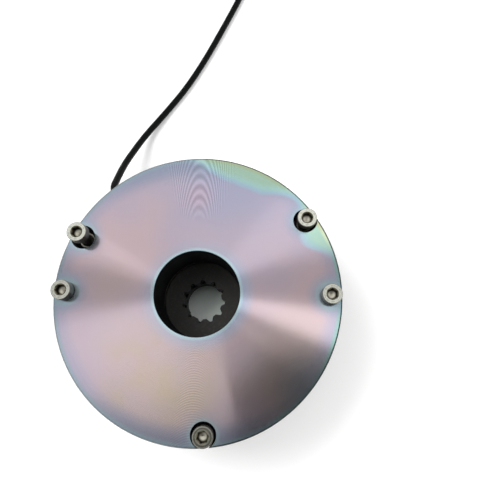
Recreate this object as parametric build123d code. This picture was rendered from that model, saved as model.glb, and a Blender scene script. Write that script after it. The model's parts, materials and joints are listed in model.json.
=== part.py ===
from build123d import *
import math
import os

# Spring-applied friction brake for an electric motor, in millimetres.
# The origin is on the shaft axis in the motor face, and +Z runs along the shaft to the screw heads.

# Round stack, from the motor face upwards
body_dia = 150.0
bore_dia = 44.4
flange_thick = 9.0
armature_thick = 6.0
air_gap = 0.3
magnet_thick = 29.0
rim_chamfer = 0.5
armature_inset = 1.0
armature_bore_gap = 0.8

# Magnet body: the walls left around the coil groove, the spring pockets and the counterbores
inner_pole_width = 11.8
outer_pole_width = 18.0
groove_back = 9.0
pocket_back = 11.0
pocket_clearance = 0.5
counterbore_depth = 8.0
counterbore_clearance = 1.4

# Internal spline of the hub
spline_count = 11
spline_root_dia = 25.8
spline_tooth_height = 2.3
notch_mouth_width = 4.2
notch_middle_width = 2.5
notch_end_width = 1.3
notch_first_angle = 94.5
cutter_overlap = 1.0

# Friction rotor
carrier_thick = 4.0
lining_thick = 3.25
lining_overhang = 1.0
lining_sleeve_gap = 2.5
lining_hub_gap = 3.0
hub_wall = 4.1
hub_flange_thick = 1.5
hub_flange_edge = 1.0
hub_face_recess = 0.3
hub_face_clearance = 0.5
hub_plate_gap = 0.6
flange_hole_lip = 1.15

# Rivets through the hub flange and the carrier
rivet_count = 6
rivet_dia = 3.0
rivet_head_dia = 5.4
rivet_head_height = 1.0
rivet_hub_gap = 1.1

# Socket-head screws
screw_dia = 6.0
head_dia = 10.0
head_height = 6.0
head_chamfer = 0.5
socket_width = 5.0
socket_floor = 2.8
tip_chamfer = 0.5
hole_clearance = 0.3
thread_clearance = 0.05

# Mounting screws, standing loose in their counterbores
mounting_rim_distance = 6.0
mounting_first_angle = 34.3
mounting_head_lift = 0.2
proud_screw_lift = 5.0

# Spacer sleeves between flange and magnet body, threaded into the magnet body
sleeve_wall = 1.25
sleeve_screw_clearance = 0.25
sleeve_stand = 1.0
sleeve_notch_clearance = 0.4

# Manual-release screws, threaded into the armature plate
release_rim_distance = 6.0
release_angles = {"left": 179.4, "right": -0.75}
release_head_lift = 0.6
release_tip_inset = 1.0

# Coil and the resin that closes its groove
potting_inset = 0.5
potting_thick = 3.0
bobbin_wall = 1.2
bobbin_clearance = 0.2
winding_inset = 1.0

# Clamp springs
spring_dia = 7.4
spring_wire = 1.2
spring_turns = 6
inner_spring_count = 6
inner_spring_first_angle = 4.3
outer_spring_offset = 60.0

# Lead, its exit and its strain relief
lead_dia = 4.2
exit_angle = 131.0
exit_rise = 4.6
exit_run = 5.3
grommet_wall = 1.0
grommet_root_step = 0.7
grommet_nose_wall = 0.6
grommet_nose = 2.5
grommet_seat = 0.5

# Coil of spare lead and its tie
coil_mean_dia = 46.0
coil_layers = 3
coil_centre = (0.0, 253.0)
coil_corner = 1.4
tie_angle = 45.0
tie_width = 3.0
tie_thick = 0.9
tie_lock = 4.0

# Connector on the lead's end
plug_angle = 195.5
plug_length = 20.0
plug_width = 11.0
plug_height = 7.0
plug_wall = 1.2
plug_corner = 1.0
plug_cavity_depth = 8.0
boot_length = 8.0
boot_nose_wall = 0.6
contact_count = 2
contact_spacing = 4.0
contact_width = 1.4
contact_thick = 0.8
contact_reach = 6.0
contact_root = 3.0

# Levels that follow from the stack
rotor_thick = carrier_thick + 2 * lining_thick
armature_bottom = flange_thick + rotor_thick
armature_top = armature_bottom + armature_thick
magnet_bottom = armature_top + air_gap
magnet_top = magnet_bottom + magnet_thick
groove_top = magnet_top - groove_back
pocket_top = magnet_top - pocket_back
counterbore_floor = magnet_top - counterbore_depth
sleeve_top = counterbore_floor + sleeve_stand
carrier_bottom = flange_thick + lining_thick
carrier_top = carrier_bottom + carrier_thick
hub_flange_top = carrier_top + hub_flange_thick
potting_top = magnet_bottom + potting_inset + potting_thick
exit_height = magnet_bottom + exit_rise
coil_height = coil_layers * lead_dia

# Diameters and circles that follow from their neighbours
groove_inner_dia = bore_dia + 2 * inner_pole_width
groove_outer_dia = body_dia - 2 * outer_pole_width
inner_spring_circle = (bore_dia + groove_inner_dia) / 2
outer_spring_circle = (body_dia + groove_outer_dia) / 2
pocket_dia = spring_dia + 2 * pocket_clearance
mounting_circle = body_dia - 2 * mounting_rim_distance
release_circle = body_dia - 2 * release_rim_distance
clearance_hole_dia = screw_dia + 2 * hole_clearance
counterbore_dia = head_dia + 2 * counterbore_clearance
sleeve_bore_dia = screw_dia + 2 * sleeve_screw_clearance
sleeve_dia = sleeve_bore_dia + 2 * sleeve_wall
armature_dia = body_dia - 2 * armature_inset
armature_bore_dia = bore_dia + 2 * armature_bore_gap
hub_face_dia = armature_bore_dia - 2 * hub_face_clearance
hub_barrel_dia = spline_root_dia + 2 * hub_wall
flange_hole_dia = spline_root_dia - 2 * flange_hole_lip
rivet_circle = hub_face_dia + rivet_head_dia + 2 * rivet_hub_gap
hub_flange_dia = rivet_circle + rivet_head_dia + 2 * hub_flange_edge
lining_inner_dia = hub_flange_dia + 2 * lining_hub_gap
lining_outer_dia = mounting_circle - sleeve_dia - 2 * lining_sleeve_gap
exit_hole_dia = lead_dia + 2 * grommet_wall
exit_reach_dia = body_dia + 2 * grommet_nose

mounting_angles = {
    "top_right": mounting_first_angle,
    "top_left": mounting_first_angle + 120,
    "bottom": mounting_first_angle + 240,
}

os.makedirs("parts", exist_ok=True)


def save(shape, name):
    export_step(shape, f"parts/{name}.step")


def outward(angle):
    """The direction away from the shaft axis at an angle."""
    turn = math.radians(angle)
    return Vector(math.cos(turn), math.sin(turn), 0)


def on_circle(dia, angle, height=0.0):
    """A point on a circle around the shaft axis."""
    return outward(angle) * (dia / 2) + Vector(0, 0, height)


def around(dia, count, first_angle=0.0):
    """Evenly spaced points on a circle around the shaft axis."""
    return [on_circle(dia, first_angle + i * 360 / count) for i in range(count)]


def disc(dia, bottom, top, centre=(0.0, 0.0)):
    """A round solid between two heights."""
    place = Pos(centre[0], centre[1], bottom)
    return place * Cylinder(dia / 2, top - bottom, align=(Align.CENTER, Align.CENTER, Align.MIN))


def pin_at(point, dia, bottom, top):
    """A round solid between two heights, centred over a point."""
    return disc(dia, bottom, top, (point.X, point.Y))


def ring(outer_dia, inner_dia, bottom, top):
    return disc(outer_dia, bottom, top) - disc(inner_dia, bottom, top)


def rims(shape, dia, heights):
    """The full round edges of one diameter at the given heights."""
    found = []
    for edge in shape.edges().filter_by(GeomType.CIRCLE):
        if abs(edge.radius - dia / 2) > 1e-4:
            continue
        if any(abs(edge.center().Z - z) < 1e-4 for z in heights):
            found.append(edge)
    return found


def spline_cutter(bottom, top):
    """The hole of the hub's internal spline: its tip circle and all notches."""
    root = spline_root_dia / 2
    tip = root - spline_tooth_height
    middle = root - spline_tooth_height / 2
    mouth, waist, end = notch_mouth_width / 2, notch_middle_width / 2, notch_end_width / 2
    mouth_x = math.sqrt(tip**2 - mouth**2)
    end_x = math.sqrt(root**2 - end**2)
    flank_down = ThreePointArc((mouth_x, -mouth), (middle, -waist), (end_x, -end))
    crown = ThreePointArc((end_x, -end), (root, 0), (end_x, end))
    flank_up = ThreePointArc((end_x, end), (middle, waist), (mouth_x, mouth))
    back_x = mouth_x - cutter_overlap
    back = Polyline((mouth_x, mouth), (back_x, mouth), (back_x, -mouth), (mouth_x, -mouth))
    outline = make_face([flank_down, crown, flank_up] + list(back.edges()))
    notch = extrude(Pos(0, 0, bottom) * outline, amount=top - bottom, dir=(0, 0, 1))
    hole = disc(2 * tip, bottom, top)
    for i in range(spline_count):
        hole += Rot(0, 0, notch_first_angle + i * 360 / spline_count) * notch
    return hole


def socket_screw(point, underside, tip):
    """A socket-head cap screw between the heights of its head's underside and its tip."""
    top = underside + head_height
    head = pin_at(point, head_dia, underside, top)
    head = chamfer(rims(head, head_dia, [top]), head_chamfer)
    shank = pin_at(point, screw_dia, tip, underside)
    shank = chamfer(rims(shank, screw_dia, [tip]), tip_chamfer)
    corner_radius = socket_width / 2 / math.cos(math.pi / 6)
    socket = extrude(
        Pos(point.X, point.Y, underside + socket_floor) * RegularPolygon(corner_radius, 6),
        amount=head_height - socket_floor,
    )
    return head + shank - socket


def coil_spring(point, bottom, top):
    """A compression spring with ground ends."""
    height = top - bottom
    pitch = height / spring_turns
    path = Helix(pitch, height + 2 * pitch, (spring_dia - spring_wire) / 2)
    section = Plane(origin=path @ 0, z_dir=path % 0) * Circle(spring_wire / 2)
    wire = Pos(point.X, point.Y, bottom - pitch) * sweep(section, path=path)
    return wire & pin_at(point, spring_dia + spring_wire, bottom, top)


def spring_set(points):
    return Compound([coil_spring(point, armature_top, pocket_top) for point in points])


def exit_rod(dia, start_dia, end_dia):
    """A round solid along the lead's exit, between two diameters of the body."""
    plane = Plane(origin=on_circle(start_dia, exit_angle, exit_height), z_dir=outward(exit_angle))
    length = (end_dia - start_dia) / 2
    return plane * Cylinder(dia / 2, length, align=(Align.CENTER, Align.CENTER, Align.MIN))


def flange_plate():
    plate = disc(body_dia, 0, flange_thick)
    plate = chamfer(rims(plate, body_dia, [0, flange_thick]), rim_chamfer)
    plate -= disc(flange_hole_dia, 0, flange_thick)
    for angle in mounting_angles.values():
        plate -= pin_at(on_circle(mounting_circle, angle), clearance_hole_dia, 0, flange_thick)
    return plate


def rotor_carrier():
    outer_dia = lining_outer_dia - 2 * lining_overhang
    plate = ring(outer_dia, hub_barrel_dia, carrier_bottom, carrier_top)
    for point in around(rivet_circle, rivet_count):
        plate -= pin_at(point, rivet_dia, carrier_bottom, carrier_top)
    return plate


def lining(bottom):
    return ring(lining_outer_dia, lining_inner_dia, bottom, bottom + lining_thick)


def rotor_hub():
    foot = flange_thick + hub_plate_gap
    face = armature_bottom - hub_face_recess
    hub = disc(hub_barrel_dia, foot, carrier_top)
    hub += disc(hub_flange_dia, carrier_top, hub_flange_top)
    hub += disc(hub_face_dia, hub_flange_top, face)
    hub -= spline_cutter(foot, face)
    for point in around(rivet_circle, rivet_count):
        hub -= pin_at(point, rivet_dia, carrier_top, hub_flange_top)
    return hub


def rotor_rivets():
    rivets = []
    for point in around(rivet_circle, rivet_count):
        shank = pin_at(point, rivet_dia, carrier_bottom, hub_flange_top)
        top_head = pin_at(point, rivet_head_dia, hub_flange_top, hub_flange_top + rivet_head_height)
        low_head = pin_at(point, rivet_head_dia, carrier_bottom - rivet_head_height, carrier_bottom)
        rivets.append(shank + top_head + low_head)
    return Compound(rivets)


def armature_plate():
    plate = disc(armature_dia, armature_bottom, armature_top)
    plate = chamfer(rims(plate, armature_dia, [armature_bottom, armature_top]), rim_chamfer)
    plate -= disc(armature_bore_dia, armature_bottom, armature_top)
    notch_dia = sleeve_dia + 2 * sleeve_notch_clearance
    for angle in mounting_angles.values():
        plate -= pin_at(on_circle(mounting_circle, angle), notch_dia, armature_bottom, armature_top)
        slot = Pos(mounting_circle / 2, 0, armature_bottom) * Box(
            notch_dia, notch_dia, armature_thick, align=(Align.MIN, Align.CENTER, Align.MIN)
        )
        plate -= Rot(0, 0, angle) * slot
    for angle in release_angles.values():
        thread_dia = screw_dia + 2 * thread_clearance
        plate -= pin_at(on_circle(release_circle, angle), thread_dia, armature_bottom, armature_top)
    return plate


inner_spring_points = around(inner_spring_circle, inner_spring_count, inner_spring_first_angle)
outer_spring_points = [
    on_circle(outer_spring_circle, angle + outer_spring_offset) for angle in mounting_angles.values()
]


def magnet_body():
    body = disc(body_dia, magnet_bottom, magnet_top)
    body = chamfer(rims(body, body_dia, [magnet_bottom, magnet_top]), rim_chamfer)
    body -= disc(bore_dia, magnet_bottom, magnet_top)
    body = chamfer(rims(body, bore_dia, [magnet_top]), rim_chamfer)
    body -= ring(groove_outer_dia, groove_inner_dia, magnet_bottom, groove_top)
    for angle in mounting_angles.values():
        point = on_circle(mounting_circle, angle)
        body -= pin_at(point, sleeve_dia + 2 * thread_clearance, magnet_bottom, counterbore_floor)
        body -= pin_at(point, counterbore_dia, counterbore_floor, magnet_top)
    for angle in release_angles.values():
        body -= pin_at(on_circle(release_circle, angle), clearance_hole_dia, magnet_bottom, magnet_top)
    for point in inner_spring_points + outer_spring_points:
        body -= pin_at(point, pocket_dia, magnet_bottom, pocket_top)
    return body - exit_rod(exit_hole_dia, groove_outer_dia - 2 * cutter_overlap, body_dia)


def spacer_sleeve(angle):
    point = on_circle(mounting_circle, angle)
    tube = pin_at(point, sleeve_dia, flange_thick, sleeve_top)
    return tube - pin_at(point, sleeve_bore_dia, flange_thick, sleeve_top)


def coil_bobbin():
    inner = groove_inner_dia + 2 * bobbin_clearance
    outer = groove_outer_dia - 2 * bobbin_clearance
    wall = ring(inner + 2 * bobbin_wall, inner, potting_top, groove_top)
    low_cheek = ring(outer, inner, potting_top, potting_top + bobbin_wall)
    high_cheek = ring(outer, inner, groove_top - bobbin_wall, groove_top)
    return wall + low_cheek + high_cheek


def coil_winding():
    inner = groove_inner_dia + 2 * (bobbin_clearance + bobbin_wall)
    outer = groove_outer_dia - 2 * winding_inset
    return ring(outer, inner, potting_top + bobbin_wall, groove_top - bobbin_wall)


def coil_potting():
    return ring(groove_outer_dia, groove_inner_dia, magnet_bottom + potting_inset, potting_top)


def mounting_screw(angle, lift):
    underside = magnet_top + mounting_head_lift + lift
    return socket_screw(on_circle(mounting_circle, angle), underside, lift)


def release_screw(angle):
    underside = magnet_top + release_head_lift
    tip = armature_bottom + release_tip_inset
    return socket_screw(on_circle(release_circle, angle), underside, tip)


def inner_lead():
    """The lead's stretch from the coil groove to the nose of its strain relief."""
    return exit_rod(lead_dia, groove_outer_dia, exit_reach_dia)


def cable_grommet():
    """Strain relief: a shank in the side hole, and a tapered nose outside the wall."""
    shank = exit_rod(exit_hole_dia, groove_outer_dia, body_dia)
    start = on_circle(body_dia - 2 * grommet_seat, exit_angle, exit_height)
    nose = Plane(origin=start, z_dir=outward(exit_angle)) * Cone(
        exit_hole_dia / 2 + grommet_root_step,
        lead_dia / 2 + grommet_nose_wall,
        grommet_nose + grommet_seat,
        align=(Align.CENTER, Align.CENTER, Align.MIN),
    )
    nose -= disc(body_dia, 0, magnet_top)
    return shank + nose - inner_lead()


# Route of the lead, from the nose of its strain relief to the coil of spare length.
# It bends round under the rim, comes down to the surface that the brake lies on and runs to the coil.
lead_exit = on_circle(exit_reach_dia, exit_angle, exit_height)
lead_first = on_circle(exit_reach_dia + 2 * exit_run, exit_angle, exit_height)
lead_low = lead_dia / 2
lead_route = [
    (lead_exit.X, lead_exit.Y, lead_exit.Z),
    (lead_first.X, lead_first.Y, lead_first.Z),
    (-57.3, 68.4, 27.6),
    (-57.1, 76.8, 21.3),
    (-52.0, 94.4, 13.1),
    (-46.7, 109.4, 5.2),
    (-31.8, 131.9, lead_low),
    (-17.5, 152.0, lead_low),
    (-4.5, 175.5, lead_low),
    (6.5, 198.5, lead_low),
    (15.8, 218.5, lead_low),
    (21.0, 231.0, lead_low),
    (22.8, 243.0, lead_low),
]

# Route of its last stretch, from the coil's top turn down to the connector
plug_axis_height = plug_height / 2
tail_route = [
    (-10.0, 276.0, 10.5),
    (-18.0, 275.9, 9.8),
    (-26.0, 275.1, 7.5),
    (-33.5, 273.6, 5.0),
    (-40.0, 271.8, 3.7),
    (-45.0, 270.4, plug_axis_height),
]


def arc_radii(points):
    """Each corner's arc: 0.45 of its shorter run, over the tangent of half the turn."""
    radii = []
    for a, b, c in zip(points, points[1:], points[2:]):
        before = Vector(*b) - Vector(*a)
        after = Vector(*c) - Vector(*b)
        half_turn = math.radians(before.get_angle(after) / 2)
        radii.append(0.45 * min(before.length, after.length) / math.tan(half_turn))
    return radii


def round_tube(points, label):
    """A tube along straight runs joined by tangent arcs."""
    radii = arc_radii(points)
    path = FilletPolyline(*points, radius=radii)
    section = Plane(origin=path @ 0, z_dir=path % 0) * Circle(lead_dia / 2)
    tube = sweep(section, path=path)
    expected = math.pi * lead_dia**2 / 4 * path.length
    print(label, "radii", [round(r, 1) for r in radii], "length", round(path.length, 1))
    print(label, "volume", round(tube.volume, 1), "section x length", round(expected, 1))
    return tube


def cable_coil():
    """The outer shape of the wound spare length."""
    coil = disc(coil_mean_dia + lead_dia, 0, coil_height, coil_centre)
    coil -= disc(coil_mean_dia - lead_dia, 0, coil_height, coil_centre)
    return fillet(coil.edges().filter_by(GeomType.CIRCLE), coil_corner)


def cable_tie():
    """A flat band around the coil, with its square lock outside."""
    band = Box(lead_dia + 2 * tie_thick, tie_width, coil_height + tie_thick)
    band -= Box(lead_dia, tie_width, coil_height - tie_thick)
    outside = (Align.MIN, Align.CENTER, Align.CENTER)
    band += Pos(lead_dia / 2 + tie_thick, 0, 0) * Box(tie_lock, tie_lock, tie_lock, align=outside)
    place = Pos(coil_centre[0], coil_centre[1], (coil_height + tie_thick) / 2) * Rot(0, 0, tie_angle)
    return place * Pos(coil_mean_dia / 2, 0, 0) * band


plug_place = Pos(tail_route[-1][0], tail_route[-1][1], plug_axis_height) * Rot(0, 0, plug_angle)
along_plug = (Align.MIN, Align.CENTER, Align.CENTER)


def plug_boot():
    """The tapered sleeve between the lead and the connector."""
    cone = Rot(0, 90, 0) * Cone(
        lead_dia / 2 + boot_nose_wall,
        plug_height / 2,
        boot_length,
        align=(Align.CENTER, Align.CENTER, Align.MIN),
    )
    return plug_place * cone


def plug_contacts():
    """The flat pins inside the connector's mouth."""
    start = boot_length + plug_length - plug_cavity_depth - contact_root
    pins = []
    for i in range(contact_count):
        side = (i - (contact_count - 1) / 2) * contact_spacing
        pin = Box(contact_root + contact_reach, contact_width, contact_thick, align=along_plug)
        pins.append(plug_place * Pos(start, side, 0) * pin)
    return Compound(pins)


def plug_housing():
    body = Pos(boot_length, 0, 0) * Box(plug_length, plug_width, plug_height, align=along_plug)
    body = fillet(body.edges().filter_by(Axis.X), plug_corner)
    mouth = Pos(boot_length + plug_length - plug_cavity_depth, 0, 0) * Box(
        plug_cavity_depth, plug_width - 2 * plug_wall, plug_height - 2 * plug_wall, align=along_plug
    )
    return plug_place * (body - mouth) - plug_contacts()


for name, make in {
    "flange_plate": flange_plate,
    "rotor_carrier": rotor_carrier,
    "rotor_hub": rotor_hub,
    "rotor_rivets": rotor_rivets,
    "armature_plate": armature_plate,
    "magnet_body": magnet_body,
    "coil_bobbin": coil_bobbin,
    "coil_winding": coil_winding,
    "coil_potting": coil_potting,
    "inner_lead": inner_lead,
    "cable_grommet": cable_grommet,
    "cable_coil": cable_coil,
    "cable_tie": cable_tie,
    "plug_boot": plug_boot,
    "plug_contacts": plug_contacts,
    "plug_housing": plug_housing,
}.items():
    save(make(), name)

save(lining(flange_thick), "lining_lower")
save(lining(carrier_top), "lining_upper")
save(spring_set(inner_spring_points), "clamp_springs_inner")
save(spring_set(outer_spring_points), "clamp_springs_outer")

for place, angle in mounting_angles.items():
    lift = proud_screw_lift if place == "top_left" else 0.0
    save(spacer_sleeve(angle), f"spacer_sleeve_{place}")
    save(mounting_screw(angle, lift), f"mounting_screw_{place}")

for place, angle in release_angles.items():
    save(release_screw(angle), f"release_screw_{place}")

save(round_tube(lead_route, "lead"), "lead_cable")
save(round_tube(tail_route, "tail"), "lead_tail")
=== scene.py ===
import json
import math

import bmesh
import bpy
from mathutils import Matrix, Vector

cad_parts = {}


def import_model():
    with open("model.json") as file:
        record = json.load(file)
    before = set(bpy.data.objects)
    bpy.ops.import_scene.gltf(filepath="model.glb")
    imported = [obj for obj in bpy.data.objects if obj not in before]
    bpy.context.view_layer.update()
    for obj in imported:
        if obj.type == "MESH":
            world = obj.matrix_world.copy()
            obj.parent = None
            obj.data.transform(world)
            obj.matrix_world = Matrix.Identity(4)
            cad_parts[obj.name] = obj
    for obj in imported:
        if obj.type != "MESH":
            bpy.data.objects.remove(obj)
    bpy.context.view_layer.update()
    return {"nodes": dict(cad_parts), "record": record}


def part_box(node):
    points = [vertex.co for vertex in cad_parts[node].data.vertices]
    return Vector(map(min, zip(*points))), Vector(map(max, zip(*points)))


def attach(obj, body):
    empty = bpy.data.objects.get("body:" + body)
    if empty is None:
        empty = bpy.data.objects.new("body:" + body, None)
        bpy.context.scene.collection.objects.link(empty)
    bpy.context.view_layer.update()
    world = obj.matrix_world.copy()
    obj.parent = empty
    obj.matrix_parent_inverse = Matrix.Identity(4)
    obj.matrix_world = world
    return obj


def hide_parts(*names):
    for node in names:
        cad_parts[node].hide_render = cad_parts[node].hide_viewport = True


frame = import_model()

MM = 0.001

# The frame's own sizes, which the pieces below are built to
magnet_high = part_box("magnet_body")[1]
FACE_Z = magnet_high.z
BODY_R = magnet_high.x
bore_mount = next(m for m in frame["record"]["mounts"] if m["name"] == "stator_bore")
BORE_R = bore_mount["dims"]["r_mm"] * MM

MOUNTING = ["mounting_screw_top_right", "mounting_screw_top_left", "mounting_screw_bottom"]
RELEASE = ["release_screw_left", "release_screw_right"]
bodies = frame["record"]["behaviour"]["bodies"]
BODY_OF = {node: body for body, nodes in bodies.items() for node in nodes}
SLOT_OF = {part["node"]: part["material_slot"] for part in frame["record"]["subparts"]}


def middle(node):
    """The point at the middle of a node's box."""
    low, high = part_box(node)
    return (low + high) / 2


# A socket screw's sizes
HEAD_H = 6.0 * MM
HEAD_R = 5.1 * MM
KNURL_DEPTH = 0.16 * MM
SOCKET_APOTHEM = 2.5 * MM
SOCKET_FLOOR = 2.6 * MM
SOCKET_LIP = 3.1 * MM
DRILL_R = 2.3 * MM
SHANK_R = 2.97 * MM
THREAD_R = 3.0 * MM
THREAD_ROOT = 2.45 * MM
TIP_R = 2.2 * MM
PITCH = 1.0 * MM


# Node trees


class Tree:
    """Adds nodes to a material's or world's tree and links them."""

    def __init__(self, owner):
        owner.use_nodes = True
        self.nodes = owner.node_tree.nodes
        self.links = owner.node_tree.links
        self.nodes.clear()

    def set(self, socket, value):
        """Links a socket, or gives it a constant."""
        if isinstance(value, bpy.types.NodeSocket):
            self.links.new(value, socket)
        else:
            socket.default_value = value

    def add(self, kind, inputs=None, **settings):
        made = self.nodes.new(kind)
        for key, value in settings.items():
            setattr(made, key, value)
        for key, value in (inputs or {}).items():
            self.set(made.inputs[key], value)
        return made

    def math(self, operation, a, b=0.0, c=0.0, clamp=False):
        inputs = {0: a, 1: b, 2: c}
        return self.add("ShaderNodeMath", inputs, operation=operation, use_clamp=clamp).outputs[0]

    def times(self, *factors):
        """The product of two or more numbers."""
        product = factors[0]
        for factor in factors[1:]:
            product = self.math("MULTIPLY", product, factor)
        return product

    def plus(self, a, b):
        return self.math("ADD", a, b)

    def minus(self, a, b):
        return self.math("SUBTRACT", a, b)

    def blend(self, factor, low, high):
        """A number between two, by a factor."""
        return self.add("ShaderNodeMix", {0: factor, 2: low, 3: high}).outputs[0]

    def grey(self, value):
        return self.add("ShaderNodeCombineColor", {0: value, 1: value, 2: value}).outputs[0]

    def ramp(self, value, low, high, smooth=True):
        """0 below low and 1 above high, or the other way round where low is the larger."""
        made = self.add("ShaderNodeMapRange", {"Value": value, "From Min": low, "From Max": high})
        made.interpolation_type = "SMOOTHSTEP" if smooth else "LINEAR"
        if low > high:
            self.set(made.inputs["From Min"], high)
            self.set(made.inputs["From Max"], low)
            self.set(made.inputs["To Min"], 1.0)
            self.set(made.inputs["To Max"], 0.0)
        return made.outputs["Result"]

    def line(self, value, at, outer, inner):
        """1 where a value is within inner of at, and 0 where it is farther off than outer."""
        off = self.math("ABSOLUTE", self.minus(value, at))
        return self.ramp(off, outer, inner)

    def mix(self, factor, a, b, blend="MIX"):
        """A colour between two, by a factor."""
        made = self.add("ShaderNodeMix", data_type="RGBA", blend_type=blend)
        for socket, value in zip([made.inputs[0], made.inputs[6], made.inputs[7]], [factor, a, b]):
            self.set(socket, value)
        return made.outputs[2]

    def noise(self, vector, scale, detail=3.0, rough=0.5, distort=0.0):
        inputs = {
            "Vector": vector,
            "Scale": scale,
            "Detail": detail,
            "Roughness": rough,
            "Distortion": distort,
        }
        return self.add("ShaderNodeTexNoise", inputs).outputs["Fac"]

    def vector(self, x, y, z):
        return self.add("ShaderNodeCombineXYZ", {0: x, 1: y, 2: z}).outputs[0]

    def place(self):
        """The point being shaded, in metres in its object's frame, and its x, y and z."""
        point = self.add("ShaderNodeTexCoord").outputs["Object"]
        return point, *self.add("ShaderNodeSeparateXYZ", {0: point}).outputs

    def distance(self, x, y, at_x=0.0, at_y=0.0):
        """How far x, y lies from a point."""
        dx = self.minus(x, at_x)
        dy = self.minus(y, at_y)
        return self.math("SQRT", self.plus(self.times(dx, dx), self.times(dy, dy)))

    def bump(self, height, strength, distance):
        inputs = {"Height": height, "Strength": strength, "Distance": distance}
        return self.add("ShaderNodeBump", inputs).outputs["Normal"]

    def round_tangent(self):
        """The direction round the shaft axis, along which a lathe's grooves run."""
        return self.add("ShaderNodeTangent", direction_type="RADIAL", axis="Z").outputs[0]


def rgb(r, g, b):
    """A colour from its display values, 0 to 255."""
    linear = [((c / 255 + 0.055) / 1.055) ** 2.4 if c > 10 else c / 255 / 12.92 for c in (r, g, b)]
    return (*linear, 1.0)


def darker(colour, share):
    """A shade of a colour with only a share of its light."""
    return (*(c * share for c in colour[:3]), 1.0)


def finish_material(tree, base, rough, metallic=0.0, normal=None, tangent=None, **further):
    """The shader and output of a material, with further inputs by name."""
    inputs = {"Base Color": base, "Roughness": rough, "Metallic": metallic}
    shader = tree.add("ShaderNodeBsdfPrincipled", inputs)
    for key, value in further.items():
        tree.set(shader.inputs[key.replace("_", " ")], value)
    if normal is not None:
        tree.set(shader.inputs["Normal"], normal)
    if tangent is not None:
        tree.set(shader.inputs["Tangent"], tangent)
    output = tree.add("ShaderNodeOutputMaterial")
    tree.links.new(shader.outputs[0], output.inputs[0])


def material(name, build):
    made = bpy.data.materials.new(name)
    build(Tree(made))
    return made


# The turned outer face. Its grooves are too fine to model one by one, so rings of smooth lands
# and rough grooves alternate in its roughness, and the anisotropy spreads light across them.

RING_PITCH = 0.24 * MM
SHADE_RING_PITCH = 0.62 * MM
RING_DRIFT = 14.0
LAND_ROUGH = 0.08
GROOVE_ROUGH = 0.25


def rings(tree, along, pitch, seed=0.0):
    """Fine rings, 0 to 1, along a radius or a height, with a slow drift in their spacing."""
    drift = tree.noise(tree.vector(along, seed, seed), 0.12 / pitch, 1.0)
    phase = tree.plus(tree.times(along, math.tau / pitch), tree.times(drift, RING_DRIFT))
    return tree.math("MULTIPLY_ADD", tree.math("SINE", phase), 0.5, 0.5)


def turning_lines(tree, along, pitch, seed=0.0):
    """Uneven lines, 0 to 1, that a lathe tool leaves along a radius or a height."""
    return tree.noise(tree.vector(along, seed, seed), 1.0 / pitch, 4.0, 0.65)


def spot(tree, x, y, at_x, at_y, reach, share):
    """A soft round patch in millimetres, share at its middle and 0 at its reach."""
    away = tree.distance(x, y, at_x * MM, at_y * MM)
    return tree.times(tree.ramp(away, reach * MM, reach * 0.1 * MM), share)


# Temper tints of the turned face: soft patches at x, y, with their reach, share and colour
TINT_PATCHES = [
    (16, 62, 54, 0.9, (180, 182, 208)),
    (46, 32, 30, 0.5, (196, 188, 208)),
    (-10, -50, 44, 0.7, (212, 193, 182)),
    (-38, -22, 30, 0.5, (216, 196, 196)),
    (48, -28, 34, 0.6, (208, 190, 184)),
    (-46, 6, 22, 0.5, (208, 188, 186)),
    (0, 53, 12, 0.4, (208, 178, 192)),
]
# Partly tint and partly painted shade: brown and slate patches that darken the lower right, where the
# face mirrors dark surroundings
BROWN_SHADE_PATCH = (44, -49, 34, 0.6, (160, 144, 134))
SLATE_SHADE_PATCH = (59, -47, 27, 0.75, (142, 150, 160))
GOLD_CLOUD = (-20, -44, 44, 0.75)
LILAC = rgb(204, 188, 202)
ROSE = rgb(212, 190, 196)
GOLD = rgb(208, 192, 166)
BORE_BLUE = rgb(180, 194, 216)
BORE_CYAN = rgb(196, 222, 230)
RIM_BLUE = rgb(172, 176, 200)
HIGH_RIM_BLUE = rgb(156, 166, 188)
LOW_RIM_SHADE = rgb(148, 152, 170)
EDGE_GREY = rgb(158, 180, 190)
EDGE_GREEN = rgb(146, 200, 186)
HALO_BLUE = rgb(168, 186, 208)
HALO_CYAN = rgb(176, 206, 210)


def patched(tree, x, y, colour, patch):
    """A colour with a soft patch of tint on it."""
    at_x, at_y, reach, share, tint = patch
    return tree.mix(spot(tree, x, y, at_x, at_y, reach, share), colour, rgb(*tint))


def face_tint(tree, x, y):
    """Rose and lilac steel, with patches of tint and a cloud of gold."""
    drift = tree.ramp(tree.noise(tree.vector(x, y, 0.0), 26.0, 1.0), 0.36, 0.64)
    colour = tree.mix(drift, LILAC, ROSE)
    for patch in TINT_PATCHES:
        colour = patched(tree, x, y, colour, patch)
    gold = tree.ramp(tree.noise(tree.vector(y, x, 0.0), 46.0, 1.0), 0.36, 0.70)
    gold = tree.times(gold, spot(tree, x, y, *GOLD_CLOUD))
    return tree.mix(gold, colour, GOLD)


def bore_tint(tree, x, y, r, colour):
    """Blue round the bore, fainter above it and on its left, with a cyan edge."""
    near = tree.ramp(r, BORE_R + 10 * MM, BORE_R + 0.5 * MM)
    to_right = tree.ramp(x, -30 * MM, 34 * MM, smooth=False)
    downward = tree.ramp(y, 28 * MM, 4 * MM)
    near = tree.times(near, tree.blend(to_right, 0.55, 1.0), tree.blend(downward, 0.55, 1.0))
    colour = tree.mix(near, colour, BORE_BLUE)
    return tree.mix(tree.ramp(r, BORE_R + 2.6 * MM, BORE_R + 0.3 * MM), colour, BORE_CYAN)


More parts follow.
